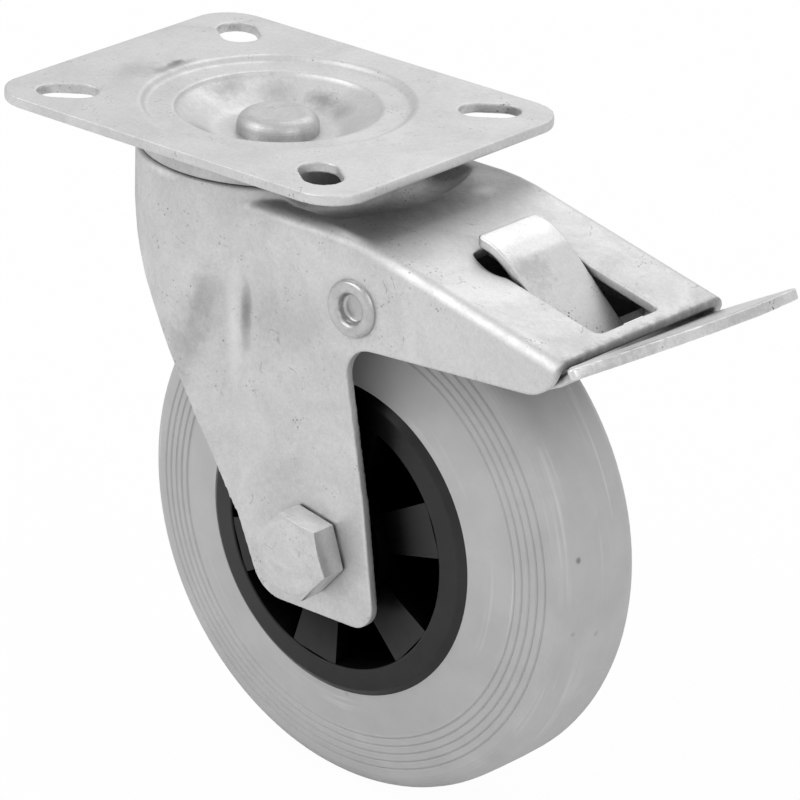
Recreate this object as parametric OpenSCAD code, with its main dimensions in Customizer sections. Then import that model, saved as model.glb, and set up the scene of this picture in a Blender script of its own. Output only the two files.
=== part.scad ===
// Swivel castor with a total-lock pedal: a 125 mm rubber-tyred wheel in a
// pressed steel fork under a slotted top plate.
// Frame: origin at the centre of the top plate's upper face, on the swivel
// axis; +Z up, +X towards the trailing side where the pedal is, Y along the axle.

/* [Top plate] */
// Length of the plate, along the direction of travel
plate_l = 105; // [98:1:130]
// Width of the plate
plate_w = 80; // [76:1:110]
// Thickness of the plate sheet
plate_t = 2.5; // [2:0.1:3.5]
// Corner radius of the plate
plate_corner_r = 10; // [4:0.5:14]
// Width of the bolt slots
slot_d = 9; // [6:0.5:10]
// Distance between the outer slot ends' centres, along the plate
slot_outer_l = 80; // [76:1:84]
// Distance between the outer slot ends' centres, across the plate
slot_outer_w = 60; // [54:1:62]
// Distance between the two end centres of one slot
slot_travel = 5; // [2:0.5:6]
// Radius of the shallow pressed ring round the dish
ring_r = 29.8; // [29.4:0.1:30.4]
// Depth of the shallow pressed ring
ring_depth = 1.3; // [0.8:0.1:1.8]
// Radius of the crisp edge where the dish starts
dish_edge_r = 23.5; // [22.5:0.1:24]
// Radius of the dish floor
dish_floor_r = 14.5; // [12:0.5:15.5]
// Depth of the dish floor below the plate's upper face
dish_depth = 7; // [6:0.1:7.6]

/* [Swivel head] */
// Diameter of the king rivet's shank
king_d = 12; // [10:0.5:14]
// Radius of the king rivet's upper head
king_head_r = 9.4; // [8.5:0.1:10]
// Radius of the flat on the upper head
king_flat_r = 6.4; // [5.5:0.1:7]
// Depth of the upper head's top below the plate's upper face
king_head_depth = 2.7; // [1:0.1:3]
// Height of the closed head under the lower race
king_foot_h = 4; // [3:0.1:5]
// Ball diameter in both swivel races
ball_d = 6; // [5.8:0.1:6.2]
// Play of a ball between its two grooves
ball_play = 0.4; // [0.36:0.02:0.5]
// Radius of the upper ball circle
upper_ball_r = 26.8; // [26.5:0.1:27]
// Radius of the lower ball circle
lower_ball_r = 24.6; // [24.2:0.1:25]
// Gap between the races' flat faces
race_gap = 5.5; // [5.3:0.1:5.6]
// Outer radius of the lower race with its locking teeth
lock_ring_r = 28.8; // [28.4:0.1:29.2]
// Number of locking notches round the lower race
notch_count = 24; // [12:1:24]
// Width of one locking notch
notch_w = 4; // [3.6:0.1:4.2]
// Depth of one locking notch
notch_depth = 2.6; // [2:0.1:2.8]
// Outer radius of the dust ring under the plate
dust_r = 31.2; // [31.2:0.1:31.4]
// Wall of the dust ring
dust_wall = 1; // [0.8:0.1:1.1]
// Running gap between the dust ring and the fork crown
dust_gap = 0.3; // [0.3:0.1:0.6]

/* [Fork] */
// Sheet thickness of the fork housing
fork_t = 2.5; // [2:0.1:2.8]
// Outer width of the fork's top and tail
top_w = 58; // [57:0.5:59]
// How far each leg stands inside the top's side at the axle
draw_in = 2; // [1.5:0.25:2.5]
// Depth at which the sides start to draw in towards the legs
draw_in_start = 42; // [40:1:46]
// Depth at which the legs run straight down again
draw_in_end = 76; // [70:1:77]
// Outer radius of the round crown
crown_r = 32; // [31.8:0.1:32.6]
// Shoulder radius of the crown
crown_shoulder = 1; // [0.8:0.1:1.6]
// Radius of the hole in the crown, inside the ball races
crown_hole_r = 20.5; // [20:0.1:21]
// Depth at which the crown's skirt starts to taper
taper_depth = 22; // [20:1:30]
// Radius lost by the tapering skirt down to the axle
taper_loss = 2.6; // [2.5:0.1:3.5]
// Forward lean of the tapering skirt down to the axle
taper_shift = 2.4; // [1:0.1:2.4]
// Distance from the swivel axis to the straight top crest
crest_x = 48.5; // [46:0.5:52]
// Depth of the crest below the plate's upper face
crest_depth = 12; // [11.8:0.1:13]
// Radius over which the top bends down into the tail
crest_r = 60; // [40:5:80]
// Downward slope of the tail, in degrees
tail_slope = 13.3; // [10:0.1:15]
// Distance from the swivel axis to the end of the tail
tail_end_x = 105.8; // [104:0.1:108]
// Distance from the swivel axis to where the straight sides begin, inside the crown
panel_x = 6; // [2:0.5:10]
// Outside radius of the bend between the top and the legs
bend_r = 3.5; // [3:0.1:5]
// Fillet radius between the crown and the trough behind it
trough_r = 4; // [3:0.1:5]
// Depth of the trough bottom below the plate's upper face
trough_depth = 16.3; // [15.5:0.1:17]
// Half width of the trough at its bottom, between its slanted ends
trough_half_w = 19; // [17:0.5:20]
// Radius of the long rise from the trough to the crest
rise_r = 11; // [9:0.5:13]
// Depth of the skirt's front lip below the plate's upper face
front_lip_depth = 18; // [16:0.5:22]
// Distance from the swivel axis to where the front lip turns down
front_lip_x = 30; // [28:0.5:31]
// Distance ahead of the swivel axis where the skirt's edge passes its upper turn
skirt_turn_x = 14.4; // [13:0.1:16]
// Depth of the skirt's upper turn
skirt_turn_depth = 39.3; // [38:0.1:41]
// Distance from the swivel axis to the leg's front edge at its middle turn
leg_mid_x = 6.3; // [5:0.1:8]
// Depth of the leg's middle turn
leg_mid_depth = 71.4; // [70:0.1:73]
// Distance from the swivel axis to the leg's front lower corner
leg_front_x = 21.3; // [20:0.1:23]
// Depth of the legs' lower edge
leg_depth = 105.5; // [104:0.5:110]
// Radius of the leg's front lower corner
leg_corner_r = 9; // [7:0.5:11]
// Radius of the leg's rear tip
leg_tip_r = 5.5; // [4:0.5:6]
// Distance from the swivel axis to the legs' rear lower corner
leg_rear_x = 54.8; // [53:0.1:57]
// Distance from the swivel axis to the notch behind the legs
notch_x = 45.8; // [45:0.1:47]
// Depth of the notch behind the legs
notch_z = 38; // [37:0.1:40]
// Radius of the notch behind the legs
notch_r = 7.2; // [5:0.1:8]
// Depth of the tail's lower edge at its end
tail_low_depth = 34.2; // [33.5:0.1:36]
// Radius of the tail's lower rear corner
tail_corner_r = 9; // [7:0.5:9]
// Distance from the swivel axis to the start of the window
window_x0 = 66; // [65:0.5:67]
// Distance from the swivel axis to the end of the window
window_x1 = 102.3; // [101:0.1:103]
// Width of the window
window_w = 21.2; // [21:0.1:24]
// Distance from the swivel axis to the rolled recesses beside the window
recess_x = 72.2; // [71:0.1:74]
// Radius of the rolled recesses beside the window
recess_r = 7.3; // [6:0.1:8]
// Distance from the middle to the centre of a rolled recess
recess_y = 5.4; // [5:0.1:6]
// Width that a rolled recess loses through the sheet
recess_roll = 4.3; // [1.5:0.1:4.5]
// Depth of the pressed valley down each leg
valley_depth = 0.9; // [0.4:0.1:1]

/* [Wheel] */
// Distance from the swivel axis to the axle
trail = 36; // [35:0.5:37]
// Clearance between the tyre and the brake leaf above it at rest
tyre_clearance = 1.2; // [1:0.1:2]
// Diameter of the wheel over the tread
wheel_d = 125; // [122:0.5:125.5]
// Width of the tyre where the grooves of its side walls begin
tyre_w = 29.5; // [28:0.1:31]
// Width of the flat part of the tread
tread_w = 15.4; // [14:0.2:18]
// How far each side wall draws in over its grooves
wall_drop = 1.4; // [1:0.1:2]
// Radius at which the side walls' grooves begin
wall_start = 48; // [47:0.1:48.4]
// Outer radius of the rim where it meets the tyre
rim_r = 37.7; // [36:0.1:38]
// Radius of the tyre's seat in the rim
seat_r = 33.4; // [33:0.1:34]
// Half width of the tyre's seat
seat_half = 12.5; // [12:0.1:13]
// Depth of one tyre groove
groove_depth = 0.35; // [0.2:0.05:0.5]
// Inner radius of the rim's flange
flange_r = 31; // [30:0.1:31.5]
// Width of the rim over its flanges
rim_w = 38.8; // [38:0.1:40]
// Number of spokes
spoke_count = 6; // [5:1:8]
// Width of a spoke
spoke_w = 13; // [10:0.1:13]
// Width of a spoke at the hub
spoke_root_w = 8.5; // [7:0.1:10]
// Turn of the first spoke above the level, in degrees
spoke_turn = 20; // [0:1:60]
// Outer radius of the hub
hub_r = 15.4; // [15:0.1:16.5]
// Gap between a bearing cap and the fork's leg
hub_gap = 1.6; // [1:0.1:3]
// Thickness of a bearing cap
cap_t = 1.4; // [1:0.1:2]

/* [Axle] */
// Diameter of the axle bolt
axle_d = 12; // [11.5:0.1:12.2]
// Width across flats of the bolt head and nut
hex_af = 18; // [18:0.5:19]
// Turn of the bolt head as it was tightened, in degrees
bolt_turn = 49; // [0:1:60]
// Height of the bolt head
bolt_head_h = 7.5; // [7:0.1:8]
// Length of the bolt under its head
bolt_l = 70; // [68:1:75]
// Height of the lock nut
nut_h = 12; // [10:0.5:12]
// Outer diameter of the axle sleeve
sleeve_d = 16; // [15.8:0.1:16.2]
// Roller diameter
roller_d = 4; // [3.8:0.1:4.1]
// Number of rollers
roller_count = 10; // [8:1:11]
// Length of a roller
roller_l = 32; // [28:1:34]

/* [Pedal] */
// Distance from the swivel axis to the pedal's pivot
pivot_x = 48.3; // [47.8:0.1:48.8]
// Depth of the pivot below the plate's upper face
pivot_depth = 28.6; // [28:0.1:29]
// Shank diameter of the half-hollow pivot rivets
pivot_d = 10; // [9.6:0.1:10.4]
// Bore of the half-hollow pivot rivets
pivot_bore = 6.8; // [6:0.1:7.4]
// Depth of a pivot rivet's bore below the fork's side
pivot_bore_depth = 1.2; // [0.8:0.1:2]
// Diameter of a pivot rivet's rolled head
pivot_head_d = 13.4; // [12.8:0.1:14]
// Radius of the pedal's arms round the pivot
arm_r = 8; // [7.5:0.1:8.5]
// Thickness of the pedal sheet
pedal_t = 2.5; // [2:0.1:2.6]
// Clearance of each pedal arm inside the fork's side
arm_gap = 0.4; // [0.4:0.1:0.7]
// Travel of the pedal down to its locked place, in degrees
pedal_travel = 10.5; // [9:0.5:11]
// Upward slope of the blade, in degrees
blade_slope = 25; // [20:1:28]
// Distance from the swivel axis to the blade's outer edge at its middle
blade_x = 120.8; // [117:0.1:122]
// Distance from the swivel axis to the blade's near corner, which is cut back
blade_near_x = 114.2; // [113:0.1:120]
// Distance from the swivel axis to the blade's far corner
blade_far_x = 120.3; // [116:0.1:121]
// Width of the blade over its wings
blade_w = 71; // [66:0.5:74]
// Width of the release tongue
tongue_w = 20; // [18:0.1:20.6]
// Clearance of the blade under the tail's end
blade_gap = 0.6; // [0.4:0.1:1]
// Thickness of the brake leaf between the pedal's arms
leaf_t = 2; // [1.6:0.1:2.4]
// Distance from the swivel axis to the brake leaf's rear end
leaf_end_x = 88; // [80:1:89]
// Gap between the brake leaf and the lower race when locked
lock_gap = 0.5; // [0.3:0.1:0.8]
// Gap that is left between the brake leaf's pad and the tyre when pressed
brake_gap = 0.4; // [0.3:0.1:0.8]

/* [Hidden] */
$fn = 64;
// Overlap that makes a cut pass through its wall
eps = 0.5;
// Length that is certain to pass the whole castor
beyond = 160;
// Gap that leaves two parts free to turn past each other
running_gap = 0.3;

// Swivel head levels, from the top down
ring_under_z = -(ring_depth + plate_t);
crown_z = ring_under_z - race_gap;
crown_under_z = crown_z - fork_t;
race_z = crown_under_z - race_gap;
race_t = plate_t;
dish_under_z = -(dish_depth + plate_t);
king_foot_z = dish_under_z - race_t;
groove_r = ball_d / 2 + 0.1;
groove_sink = (ball_d + ball_play - race_gap) / 2;
// Share of the play that lies under the ball
ball_seat = 0.05;
upper_ball_z = crown_z - groove_sink + ball_seat + ball_d / 2;
lower_ball_z = crown_under_z + groove_sink - ball_seat - ball_d / 2;
balls_upper = floor(2 * PI * upper_ball_r / (ball_d + 0.4));
balls_lower = floor(2 * PI * lower_ball_r / (ball_d + 0.4));

// Brake leaf's nose, and the axle in whole tenths below it and its clearance
race_under_z = race_z - race_t;
nose_x = 26.5;
nose_lift = (pivot_x - nose_x) * sin(pedal_travel);
tooth_z = race_z - nose_lift - 2 * lock_gap;
nose_z = race_under_z - nose_lift - lock_gap;
axle_depth = round(10 * (wheel_d / 2 + tyre_clearance + leaf_t - nose_z)) / 10;
axle_z = -axle_depth;

// Fork
fork_w = top_w - 2 * draw_in;
fork_in_w = fork_w - 2 * fork_t;
pedal_inner_w = top_w - 2 * (fork_t + arm_gap);
hub_l = fork_in_w - 2 * (hub_gap + cap_t);
pivot_z = -pivot_depth;
wheel_r = wheel_d / 2;
leg_y = fork_w / 2;
top_y = top_w / 2;

// Turns a list of [x, y, radius] corners into points with true round corners
function turn(d) = d > 180 ? d - 360 : d < -180 ? d + 360 : d;
function corner(a, b, c, r, n) =
    r == 0 ? [b] :
    let (u = (a - b) / norm(a - b), w = (c - b) / norm(c - b),
         half = acos(u * w) / 2,
         centre = b + (u + w) / norm(u + w) * (r / sin(half)),
         s = b + u * (r / tan(half)) - centre,
         e = b + w * (r / tan(half)) - centre,
         a0 = atan2(s[1], s[0]), step = turn(atan2(e[1], e[0]) - a0) / n)
    [for (i = [0 : n]) centre + r * [cos(a0 + step * i), sin(a0 + step * i)]];
function flat2(p) = [p[0], p[1]];
function rounded(pts, n = 8) =
    let (m = len(pts))
    [for (i = [0 : m - 1])
        each corner(flat2(pts[(i + m - 1) % m]), flat2(pts[i]),
                    flat2(pts[(i + 1) % m]), pts[i][2], n)];

// Draws a side-view outline as a slab across the castor
module across(y0, y1) {
    translate([0, y1, 0]) rotate([90, 0, 0]) linear_extrude(height = y1 - y0) children();
}

module rounded_rect(l, w, r) {
    square([l - 2 * r, w], center = true);
    square([l, w - 2 * r], center = true);
    for (x = [-1, 1], y = [-1, 1])
        translate([x * (l / 2 - r), y * (w / 2 - r)]) circle(r = r);
}

// Slots point at the plate's centre
module slot_outline() {
    reach = norm([slot_outer_l, slot_outer_w]) / 2;
    slant = atan2(slot_outer_w, slot_outer_l);
    for (side = [slant, 180 - slant, 180 + slant, -slant])
        rotate(side) translate([reach - slot_travel, 0]) {
            circle(d = slot_d);
            translate([slot_travel, 0]) circle(d = slot_d);
            translate([0, -slot_d / 2]) square([slot_travel, slot_d]);
        }
}

// Section of the pressed ring and dish, from the outer blend to the rivet hole
module dish_section() {
    wall_x = dish_edge_r - 0.5;
    blend_x = ring_r + plate_t + 0.6;
    polygon(rounded([
        [blend_x, 0, 0],
        [ring_r + ring_depth, 0, 1],
        [ring_r, -ring_depth, 1],
        [dish_edge_r, -ring_depth, 0],
        [wall_x, -ring_depth - 0.8, 0],
        [dish_floor_r, -dish_depth, 5],
        [king_d / 2, -dish_depth, 0],
        [king_d / 2, dish_under_z, 0],
        [dish_floor_r + 0.8, dish_under_z, 5],
        [wall_x + 1.2, ring_under_z, 1],
        [ring_r + 1.5, ring_under_z, 0.5],
        [ring_r + 2.6, -plate_t, 0.5],
        [blend_x, -plate_t, 0]], 6));
}

module top_plate() {
    color("gainsboro") difference() {
        union() {
            translate([0, 0, -plate_t]) linear_extrude(height = plate_t)
                difference() {
                    rounded_rect(plate_l, plate_w, plate_corner_r);
                    circle(r = ring_r + plate_t + 0.6);
                    slot_outline();
                }
            rotate_extrude($fn = 96) dish_section();
        }
        ball_groove(upper_ball_r, upper_ball_z + ball_seat);
    }
}

module ball_groove(r, z) {
    rotate_extrude($fn = 96) translate([r, z]) circle(r = groove_r);
}

// Closed by riveting: a rolled upper head, the shank and a flat foot
module king_rivet() {
    r = king_head_r - king_flat_r;
    foot = king_foot_z - king_foot_h;
    color("darkgray") rotate_extrude($fn = 96) polygon(rounded([
        [0, -king_head_depth, 0],
        [king_head_r, -king_head_depth, r],
        [king_head_r, -dish_depth, 0],
        [king_d / 2, -dish_depth, 0],
        [king_d / 2, king_foot_z, 0],
        [king_head_r, king_foot_z, 0],
        [king_head_r, foot, 1.5],
        [0, foot, 0]]));
}

// Pressed lower race; the notches in its rim take the swivel lock
module lower_race() {
    color("silver") difference() {
        rotate_extrude($fn = 96) polygon(rounded([
            [king_d / 2, dish_under_z, 0],
            [dish_floor_r - 1.5, dish_under_z, 2],
            [lower_ball_r - 3, race_z, 2],
            [lock_ring_r, race_z, 0],
            [lock_ring_r, race_z - race_t, 0],
            [lower_ball_r - 4.6, race_z - race_t, 2],
            [dish_floor_r - 2.6, king_foot_z, 2],
            [king_d / 2, king_foot_z, 0]], 4));
        ball_groove(lower_ball_r, lower_ball_z + ball_seat - ball_play);
        for (i = [0 : notch_count - 1])
            rotate(360 / notch_count * i)
                translate([lock_ring_r - notch_depth, -notch_w / 2, race_z - race_t - eps])
                    cube([notch_depth + eps, notch_w, race_t + 2 * eps]);
    }
}

module dust_ring() {
    bottom = crown_z + dust_gap;
    color("lightgray") rotate_extrude($fn = 96)
        translate([dust_r - dust_wall, bottom]) square([dust_wall, ring_under_z - bottom]);
}

module ball_ring(r, z, n) {
    for (i = [0 : n - 1])
        rotate(360 / n * i) translate([r, 0, z]) sphere(d = ball_d, $fn = 24);
}

module upper_balls() {
    color("dimgray") ball_ring(upper_ball_r, upper_ball_z, balls_upper);
}

module lower_balls() {
    color("dimgray") ball_ring(lower_ball_r, lower_ball_z, balls_lower);
}

// A round-topped prism that runs along X: the fork's top and its two bends
module channel(w, top, r) {
    rotate([90, 0, 90]) linear_extrude(height = beyond) {
        translate([-w / 2, top - beyond]) square([w, beyond - r]);
        translate([-w / 2 + r, top - beyond]) square([w - 2 * r, beyond]);
        for (side = [-1, 1]) translate([side * (w / 2 - r), top - r]) circle(r = r);
    }
}

// The fork's straight body, inset by one sheet when s is fork_t
module fork_body(s) {
    steps = 3;
    arc_x = crest_x - crest_r * tan(tail_slope / 2);
    difference() {
        intersection() {
            for_crest(0, arc_x, s);
            for_crest(tail_slope / steps, arc_x, s);
            for_crest(tail_slope * 2 / steps, arc_x, s);
            for_crest(tail_slope, arc_x, s);
            drawn_in_sides(s);
        }
        trough(s);
    }
}

// Channel whose top is the tangent of the crest's arc at one angle
module for_crest(a, arc_x, s) {
    translate([arc_x + crest_r * sin(a), 0, -crest_depth - crest_r + crest_r * cos(a)])
        rotate([0, a, 0]) translate([panel_x - crest_x, 0, 0])
            channel(top_w - 2 * s, -s, bend_r - s);
}

// Walls that draw in from the top's width to the legs' width
module drawn_in_sides(s) {
    leg = leg_y - s;
    spread = top_y - leg_y + 1;
    rise = spread * (draw_in_end - draw_in_start) / (top_y - leg_y);
    rotate([90, 0, 90]) linear_extrude(height = beyond)
        polygon([[-leg, -beyond], [-leg, -draw_in_end], [-leg - spread, -draw_in_end + rise],
                 [-leg - spread, 0], [leg + spread, 0], [leg + spread, -draw_in_end + rise],
                 [leg, -draw_in_end], [leg, -beyond]]);
}

// Trough round the crown, grown by s for the underside; its ends slope at 45 degrees
module trough(s) {
    half = trough_half_w + s * sqrt(2);
    intersection() {
        trough_ring(s);
        translate([0, 0, -trough_depth]) rotate([90, 0, 90]) linear_extrude(height = beyond)
            polygon([[trough_depth - half, -trough_depth], [half - trough_depth, -trough_depth],
                     [half + trough_depth, trough_depth], [-half - trough_depth, trough_depth]]);
    }
}

module trough_ring(s) {
    fillet = [crown_r + trough_r, -trough_depth + trough_r];
    rise = [fillet[0], -trough_depth + rise_r];
    rotate_extrude($fn = 96) {
        translate(fillet) circle(r = trough_r + s);
        translate([crown_r - 6, fillet[1]]) square([6 + trough_r, trough_depth]);
        intersection() {
            translate(rise) circle(r = rise_r + s);
            translate([fillet[0], -beyond]) square([beyond, 2 * beyond]);
        }
    }
}

// Round crown whose skirt tapers and leans as it goes down
module crown_body(s) {
    run = axle_depth - taper_depth;
    lean = atan2(taper_shift, run);
    up = taper_depth;
    loss = taper_loss / run;
    intersection() {
        round_post(s, leg_depth + 20);
        translate([0, 0, -taper_depth]) rotate([0, -lean, 0])
            translate([0, 0, -beyond])
                cylinder(h = beyond + up, r1 = crown_r - s - loss * beyond,
                         r2 = crown_r - s + loss * up, $fn = 96);
    }
}

module round_post(s, depth) {
    r = crown_shoulder;
    rotate_extrude($fn = 96) polygon(rounded([
        [0, crown_z - s, 0],
        [crown_r - s, crown_z - s, max(r - s, 0)],
        [crown_r - s, -depth, 0],
        [0, -depth, 0]], 5));
}

// Side view of the fork: skirt, legs, notch behind them and tail
module fork_outline() {
    far = 40;
    polygon(rounded([
        [-far, 0, 0],
        [-far, -front_lip_depth, 0],
        [-front_lip_x, -front_lip_depth, 6],
        [-skirt_turn_x, -skirt_turn_depth, 40],
        [leg_mid_x, -leg_mid_depth, 60],
        [leg_front_x, -leg_depth, leg_corner_r],
        [leg_rear_x, -leg_depth, leg_tip_r],
        [notch_x, -notch_z, notch_r],
        [tail_end_x, -tail_low_depth, tail_corner_r],
        [tail_end_x, 0, 0]]));
}

// Window in the tail, with a rolled recess beside each front corner
module window_cut() {
    run = cos(tail_slope);
    l = (window_x1 - window_x0) / run;
    depth = beyond / 4;
    translate([window_x0, 0, -crest_depth - (window_x0 - crest_x) * tan(tail_slope)])
        rotate([0, tail_slope, 0]) {
            translate([l / 2, 0, -depth / 2]) linear_extrude(height = depth)
                rounded_rect(l, window_w, 2);
            for (side = [-1, 1])
                translate([(recess_x - window_x0) / run, side * recess_y, -fork_t])
                    cylinder(h = fork_t, r1 = recess_r - recess_roll, r2 = recess_r);
        }
}

// Long shallow valley pressed into the skirt, ahead of each leg
module valley_cut() {
    tool_r = 25;
    sweep_r = 120;
    for (side = [-1, 1])
        translate([-1.5, side * (crown_r - 0.6 - valley_depth + sweep_r + tool_r), -46])
            rotate([0, 22, 0]) rotate([0, 90, 0])
                rotate_extrude($fn = 96) translate([sweep_r, 0]) circle(r = tool_r);
}

module fork_housing() {
    color("gainsboro") difference() {
        intersection() {
            difference() {
                union() { crown_body(0); fork_body(0); }
                crown_body(fork_t);
                fork_body(fork_t);
            }
            across(-crown_r - 5, crown_r + 5) fork_outline();
        }
        translate([0, 0, crown_under_z - eps]) cylinder(h = fork_t + 2 * eps, r = crown_hole_r);
        ball_groove(upper_ball_r, upper_ball_z - ball_seat);
        ball_groove(lower_ball_r, lower_ball_z + ball_seat);
        window_cut();
        valley_cut();
        translate([trail, -leg_y - eps, axle_z]) rotate([-90, 0, 0])
            cylinder(h = fork_w + 2 * eps, d = axle_d + 0.2);
        translate([pivot_x, -top_y - eps, pivot_z]) rotate([-90, 0, 0])
            cylinder(h = top_w + 2 * eps, d = pivot_d);
    }
}

// Half-hollow rivet through one leg and the pedal arm behind it, rolled over outside
module pivot_rivet(side) {
    head_t = 1.3;
    foot_t = 1;
    foot_r = pivot_d / 2 + 1.4;
    length = top_y - (pedal_inner_w / 2 - pedal_t) + running_gap;
    translate([pivot_x, side * top_y, pivot_z]) rotate([-90 * side, 0, 0])
        rotate_extrude() polygon(rounded([
            [0, -pivot_bore_depth, 0],
            [pivot_bore / 2, -pivot_bore_depth, 0.8],
            [pivot_bore / 2, head_t, 1.3],
            [pivot_head_d / 2, head_t, 1.2],
            [pivot_head_d / 2, 0, 0],
            [pivot_d / 2, 0, 0],
            [pivot_d / 2, -length, 0],
            [foot_r, -length, 0],
            [foot_r, -length - foot_t, 0.5],
            [0, -length - foot_t, 0]], 6));
}

module pivot_rivet_near() { color("silver") pivot_rivet(-1); }
module pivot_rivet_far() { color("silver") pivot_rivet(1); }

module hexagon(af) { circle(d = af / cos(30), $fn = 6); }

// Hexagon with its outer corners turned off, on a round washer face
module hex_head(h) {
    face_t = h / 15;
    face_r = hex_af * 0.47;
    intersection() {
        translate([0, 0, face_t]) linear_extrude(height = h - face_t) hexagon(hex_af);
        rotate_extrude() polygon([
            [0, 0], [hex_af, 0], [hex_af, h - hex_af / 6], [face_r, h], [0, h]]);
    }
    cylinder(h = face_t + eps, r = face_r);
}

module axle_bolt() {
    color("lightgray") translate([trail, 0, axle_z]) rotate([90, 0, 0]) {
        translate([0, 0, leg_y]) rotate(bolt_turn) hex_head(bolt_head_h);
        translate([0, 0, leg_y - bolt_l]) cylinder(h = bolt_l, d = axle_d);
    }
}

module axle_nut() {
    color("lightgray") translate([trail, leg_y, axle_z]) rotate([-90, 0, 0])
        difference() {
            hex_head(nut_h);
            translate([0, 0, -eps]) cylinder(h = nut_h + 2 * eps, d = axle_d);
        }
}

module axle_sleeve() {
    color("silver") translate([trail, -fork_in_w / 2, axle_z]) rotate([-90, 0, 0])
        difference() {
            cylinder(h = fork_in_w, d = sleeve_d);
            translate([0, 0, -eps]) cylinder(h = fork_in_w + 2 * eps, d = axle_d);
        }
}

// Pedal levels: the blade's upper face passes under the tail's end
tail_end_z = -crest_depth - (tail_end_x - crest_x) * tan(tail_slope);
blade_top_z = tail_end_z - fork_t / cos(tail_slope) - blade_gap;
fold_x = 95.5;
fold_z = blade_top_z - (tail_end_x - fold_x) * tan(blade_slope);

// Plan of the blade along its own slope: narrow in the fork, winged outside it
module blade_plan() {
    half = pedal_inner_w / 2 - 0.4;
    wing = blade_w / 2;
    run = cos(blade_slope);
    root = (tail_end_x + 1.5 - fold_x) / run;
    polygon(rounded([
        [-1, -half, 0],
        [root, -half, 2],
        [(blade_near_x - fold_x) / run, -wing, 1.2],
        [(blade_x - fold_x) / run, -8, 150],
        [(blade_far_x - fold_x) / run, wing, 2],
        [root, half, 2],
        [-1, half, 0]], 6));
}

module blade() {
    translate([fold_x, 0, fold_z]) rotate([0, -blade_slope, 0])
        translate([0, 0, -pedal_t]) linear_extrude(height = pedal_t) blade_plan();
}

// Tongue that rises from the fold through the window and curls over
module tongue() {
    t = pedal_t;
    end_x = 66.9;
    intersection() {
        across(-tongue_w / 2, tongue_w / 2) polygon(rounded([
            [end_x, -11.7, 0.5],
            [71.6, -12.5, 12],
            [76.6, -15.6, 10],
            [fold_x - 0.3, fold_z + 0.9, 2],
            [fold_x + 1.5, fold_z + 0.7, 0],
            [fold_x + 1.5, fold_z - 1.9, 0],
            [fold_x - 1.4, fold_z - 1.6, 2],
            [75.4, -17.9, 8],
            [71, -14.9, 10],
            [end_x - 0.3, -11.7 - t, 0.5]], 8));
        translate([0, 0, -beyond / 2]) linear_extrude(height = beyond) polygon(rounded([
            [end_x - 0.5, -tongue_w / 2, 2.4],
            [fold_x + 2, -tongue_w / 2, 0],
            [fold_x + 2, tongue_w / 2, 0],
            [end_x - 0.5, tongue_w / 2, 2.4]], 6));
    }
}

module pedal_arm(side) {
    outer = pedal_inner_w / 2;
    across(side > 0 ? outer - pedal_t : -outer, side > 0 ? outer : -outer + pedal_t)
        difference() {
            union() {
                translate([pivot_x, pivot_z]) circle(r = arm_r);
                polygon(rounded([
                    [pivot_x + 1, pivot_z + arm_r, 0],
                    [tail_end_x - 9, blade_top_z, 4],
                    [tail_end_x - 1.5, blade_top_z - 1, 1],
                    [fold_x + 1, fold_z - 0.8, 3],
                    [pivot_x + 1.5 * arm_r, pivot_z - arm_r + 1, 6],
                    [pivot_x + 1, pivot_z - arm_r, 0]]));
            }
            translate([pivot_x, pivot_z]) circle(d = pivot_d + 0.2);
        }
}

module brake_pedal() {
    color("whitesmoke") {
        blade();
        tongue();
        for (side = [-1, 1]) pedal_arm(side);
    }
}

// Brake leaf: locking teeth in front, curved pad behind, over the tyre.
// Its pad is shaped against the pressed tyre and turned back by the pedal's travel.
leaf_half = pedal_inner_w / 2 - pedal_t;
leaf_front_half = 11.5;

function pressed_pad(a, r) =
    let (x = trail + r * sin(a) - pivot_x, z = axle_z + r * cos(a) - pivot_z,
         c = cos(pedal_travel), k = sin(pedal_travel))
    [pivot_x + x * c - z * k, pivot_z + x * k + z * c];

module leaf_side() {
    inner = wheel_r + brake_gap;
    pad = [for (a = [20 : 3 : 35]) pressed_pad(a, inner)];
    back = [for (a = [35 : -3 : 20]) pressed_pad(a, inner + leaf_t)];
    end_z = pad[len(pad) - 1][1];
    polygon(concat(
        [[nose_x, nose_z - leaf_t], [40, nose_z - leaf_t], [50, nose_z - leaf_t - 1.2]],
        pad, [[leaf_end_x, end_z], [leaf_end_x, end_z + leaf_t]], back,
        [[50, nose_z - 1.2], [40, nose_z], [nose_x + leaf_t, nose_z],
         [nose_x + leaf_t, tooth_z], [nose_x, tooth_z]]));
}

module leaf_plan() {
    translate([56, -leaf_half]) square([beyond, 2 * leaf_half]);
    translate([20, -leaf_front_half]) square([40, 2 * leaf_front_half]);
}

// Turns a shape from the pedal's locked place back to its place at rest
module turned_back() {
    translate([pivot_x, 0, pivot_z]) rotate([0, -pedal_travel, 0])
        translate([-pivot_x, 0, -pivot_z]) children();
}

module brake_leaf() {
    pitch = 360 / notch_count;
    land_w = 2 * PI * lock_ring_r / notch_count - notch_w + 2 * lock_gap;
    land_x = lock_ring_r - 2 * notch_depth;
    color("dimgray") difference() {
        intersection() {
            across(-leaf_half, leaf_half) leaf_side();
            translate([0, 0, -beyond / 2]) linear_extrude(height = beyond) leaf_plan();
        }
        turned_back() for (i = [-1.5 : 1 : 1.5])
            rotate(pitch * i)
                translate([land_x, -land_w / 2, race_under_z - lock_gap])
                    cube([4 * notch_depth, land_w, 2 * race_t]);
    }
}

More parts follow.
